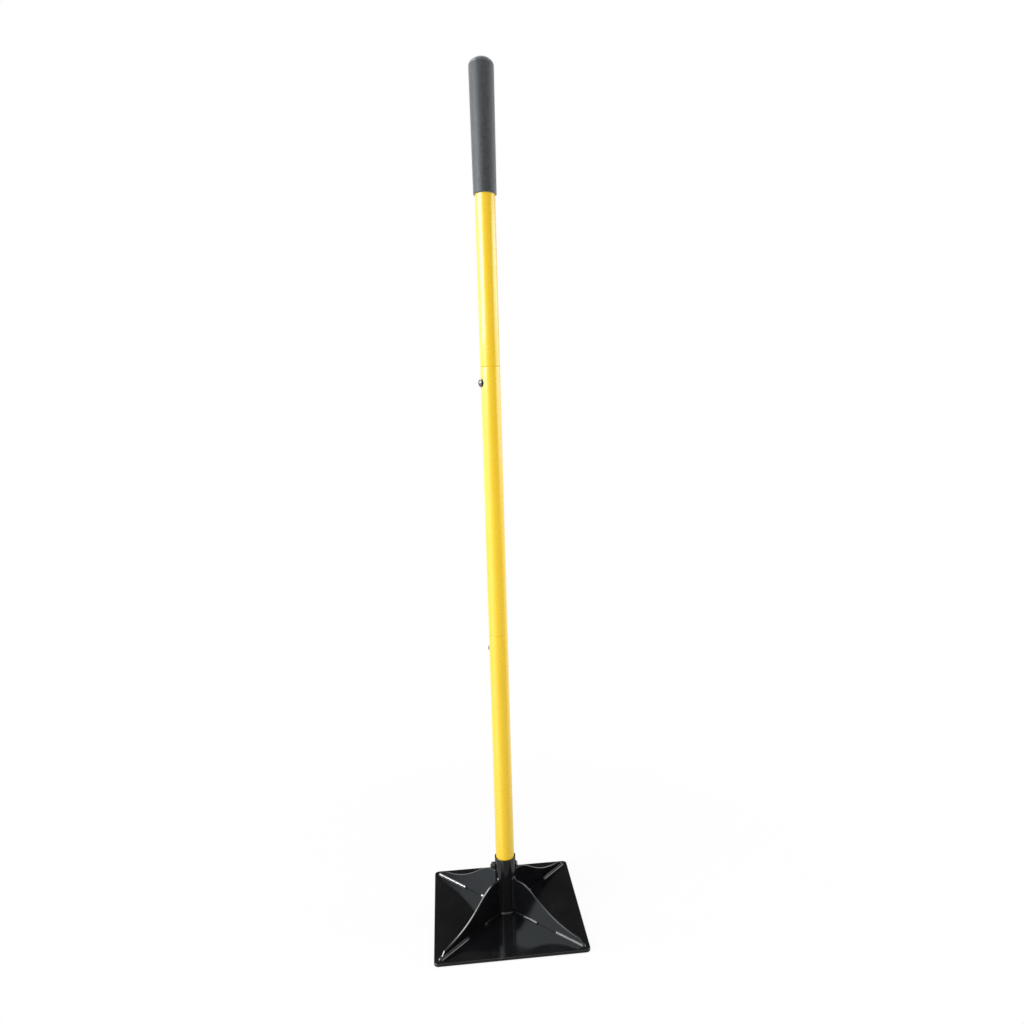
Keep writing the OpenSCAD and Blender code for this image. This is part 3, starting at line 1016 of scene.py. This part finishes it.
floor_mesh = bpy.data.meshes.new("floor")
front_edge = [(sheet_left, sheet_front), (sheet_right, sheet_front)]
back_edge = [(sheet_right, sheet_back), (sheet_left, sheet_back)]
floor_mesh.from_pydata([(x, y, -floor_drop) for x, y in front_edge + back_edge], [], [(0, 1, 2, 3)])
floor_mesh.materials.append(floor_white)
floor = bpy.data.objects.new("floor", floor_mesh)
scene.collection.objects.link(floor)
print("floor sheet", sheet_right - sheet_left, "m wide,", floor_drop, "m under the plate")

# %% [markdown]
# ## Studio
#
# Gloss black only looks black where the room is dark, and yellow gloss keeps its colour only where it
# mirrors little light. So reflections get a room of their own. A picture of a real studio could stand for
# it, but soft walls can be put just where the tool mirrors them. The wall behind the tool is white, the
# left wall glows, and the right one glows more the higher it goes, which draws the thin streak on the right
# of the handle. The side of the photographer is dark, with a dim floor and a pale ceiling. At the back the
# ceiling is dark where the plate mirrors it and bright higher up at the sides, which draws the lines on the
# upper edges of the gussets. Each pair below is where a change begins and ends.

# %% Room for reflections
dark_level = 0.07
left_glow, left_wall_edge = 1.9, (-0.80, -0.20)
back_glow, back_wall_edge = 1.0, (0.0, 0.5)
wall_top = (0.25, 0.45)
right_low, right_high, right_rise = 0.2, 5.4, (-0.22, 0.20)
right_wall_edge, right_top = (0.80, 0.95), (0.24, 0.34)
ceiling_rise, ceiling_depth = (0.62, 0.68), (0.05, 0.25)
ceiling_left, ceiling_left_edge = 12, (-0.40, -0.18)
ceiling_right, ceiling_right_edge = 3.5, (0.15, 0.50)
ceiling_middle = 0.6
front_floor, front_floor_rise = 0.35, (-0.3, -0.1)
front_ceiling, front_ceiling_rise = 0.9, (0.46, 0.54)
front_depth = (-0.3, 0.0)

world = bpy.data.worlds.new("studio")
world.use_nodes = True
tree = world.node_tree
parts = tree.nodes.new("ShaderNodeSeparateXYZ")
tree.links.new(tree.nodes.new("ShaderNodeTexCoord").outputs["Generated"], parts.inputs["Vector"])
x, y, z = parts.outputs

left_wall = between(tree, x, left_glow, dark_level, *left_wall_edge)
back_wall = between(tree, y, dark_level, back_glow, *back_wall_edge)
below_ceiling = between(tree, z, 1, dark_level, *wall_top)
walls = all_of(tree, any_of(tree, left_wall, back_wall), below_ceiling)

right_glow = between(tree, z, right_low, right_high, *right_rise)
at_right = between(tree, x, 0, 1, *right_wall_edge)
below_top = between(tree, z, 1, 0, *right_top)
right_wall = all_of(tree, right_glow, at_right, below_top)

high = between(tree, z, 0, 1, *ceiling_rise)
behind = between(tree, y, 0, 1, *ceiling_depth)
left_side = between(tree, x, ceiling_left, ceiling_middle, *ceiling_left_edge)
right_side = between(tree, x, ceiling_middle, ceiling_right, *ceiling_right_edge)
ceiling = all_of(tree, high, behind, any_of(tree, left_side, right_side))

dim_floor = between(tree, z, front_floor, 0, *front_floor_rise)
pale_ceiling = between(tree, z, 0, front_ceiling, *front_ceiling_rise)
in_front = between(tree, y, 1, 0, *front_depth)
front = all_of(tree, any_of(tree, dim_floor, pale_ceiling), in_front)

room_level = any_of(tree, walls, right_wall, ceiling, front)
print("the room for reflections glows from", dark_level, "to", ceiling_left)

# %% [markdown]
# The world then has three faces: the room for reflections, white for the camera and an even grey that
# lights every surface from all sides. One face for all would be simpler, but then the light that suits the
# paint would also be the background. The world is left out of lamp sampling, because a sample taken as for
# a lamp can't tell which face it should see.

# %% World
even_grey = (0.70, 0.70, 0.70, 1)

world.cycles.sampling_method = "NONE"
even = tree.nodes["Background"]
even.inputs["Color"].default_value = even_grey
room = tree.nodes.new("ShaderNodeBackground")
tree.links.new(room_level, room.inputs["Color"])
white = tree.nodes.new("ShaderNodeBackground")
white.inputs["Color"].default_value = (1, 1, 1, 1)
rays = tree.nodes.new("ShaderNodeLightPath").outputs
seen = any_of(tree, rays["Is Camera Ray"], rays["Is Transmission Ray"])
faces = choose(tree, rays["Is Glossy Ray"], even.outputs["Background"], room.outputs["Background"])
faces = choose(tree, seen, faces, white.outputs["Background"])
tree.links.new(faces, tree.nodes["World Output"].inputs["Surface"])
scene.world = world
print("world", scene.world.name, "with", len(tree.nodes), "nodes")

# %% [markdown]
# The light comes from a large window on the left, which is two lamps here. One is seen in reflections
# alone: it draws the white streak on the left of the handle and, by way of the front right gusset, leaves a
# grey bloom on the plate. The other gives only soft light, a little more from the front. One lamp for both
# would burn out the yellow before the black shines. A weak fill lamp close by on the right keeps that side
# of the handle from going brown.

# %% Lamps
def soft_lamp(name, place, aim, width, height, watts, colour=(1.0, 1.0, 1.0)):
    """A flat lamp that faces the point it is aimed at."""
    lamp = bpy.data.lights.new(name, "AREA")
    lamp.shape = "RECTANGLE"
    lamp.size, lamp.size_y = width, height
    lamp.energy = watts
    lamp.color = colour
    holder = bpy.data.objects.new(name, lamp)
    look = (Vector(aim) - Vector(place)).to_track_quat("-Z", "Y").to_matrix().to_4x4()
    holder.matrix_world = Matrix.Translation(place) @ look
    scene.collection.objects.link(holder)
    print(name, watts, "W over", round(width * height, 2), "square metres")
    return holder


window = soft_lamp(
    "window_left", place=(-1.6, -0.59, 1.30), aim=(0, 0, 0.5), width=1.5, height=1.0, watts=42,
    colour=(0.86, 0.95, 1.0),
)
window.visible_diffuse = False
key = soft_lamp("key_left", place=(-1.42, -0.75, 0.6), aim=(0, 0, 0.4), width=0.9, height=0.9, watts=20.5)
key.visible_glossy = False
fill = soft_lamp(
    "fill_right", place=(0.60, 0.0, 0.54), aim=(0, 0, 0.54), width=0.25, height=0.35, watts=1.7,
    colour=(0.93, 0.97, 1.0),
)
fill.visible_glossy = False
fill.visible_camera = False

# %% [markdown]
# A bead is a white line only where it mirrors something bright, but a lamp that bright would also show in
# the plate beside it. Light linking is the way out: it lets a lamp reach a few pieces and no other. One
# glint lights up the welds that face left, the other the sloped toe of the front left gusset.

# %% Glints
def glint(name, place, width, height, watts, reaches):
    """A small lamp that only the named pieces mirror."""
    lamp = soft_lamp(name, place, (0, 0, 0), width, height, watts)
    lamp.visible_diffuse = False
    reach = bpy.data.collections.new(name + "_reach")
    for piece_name in reaches:
        reach.objects.link(bpy.data.objects[piece_name])
    lamp.light_linking.receiver_collection = reach


welds = ["foot_welds", "upright_welds"]
glint("weld_glint", place=(-1.6, 0.08, 0.99), width=0.30, height=0.24, watts=20, reaches=welds)
toe = ["front_left_gusset"]
glint("toe_glint", place=(-1.6, -0.18, 0.85), width=0.20, height=0.40, watts=8, reaches=toe)
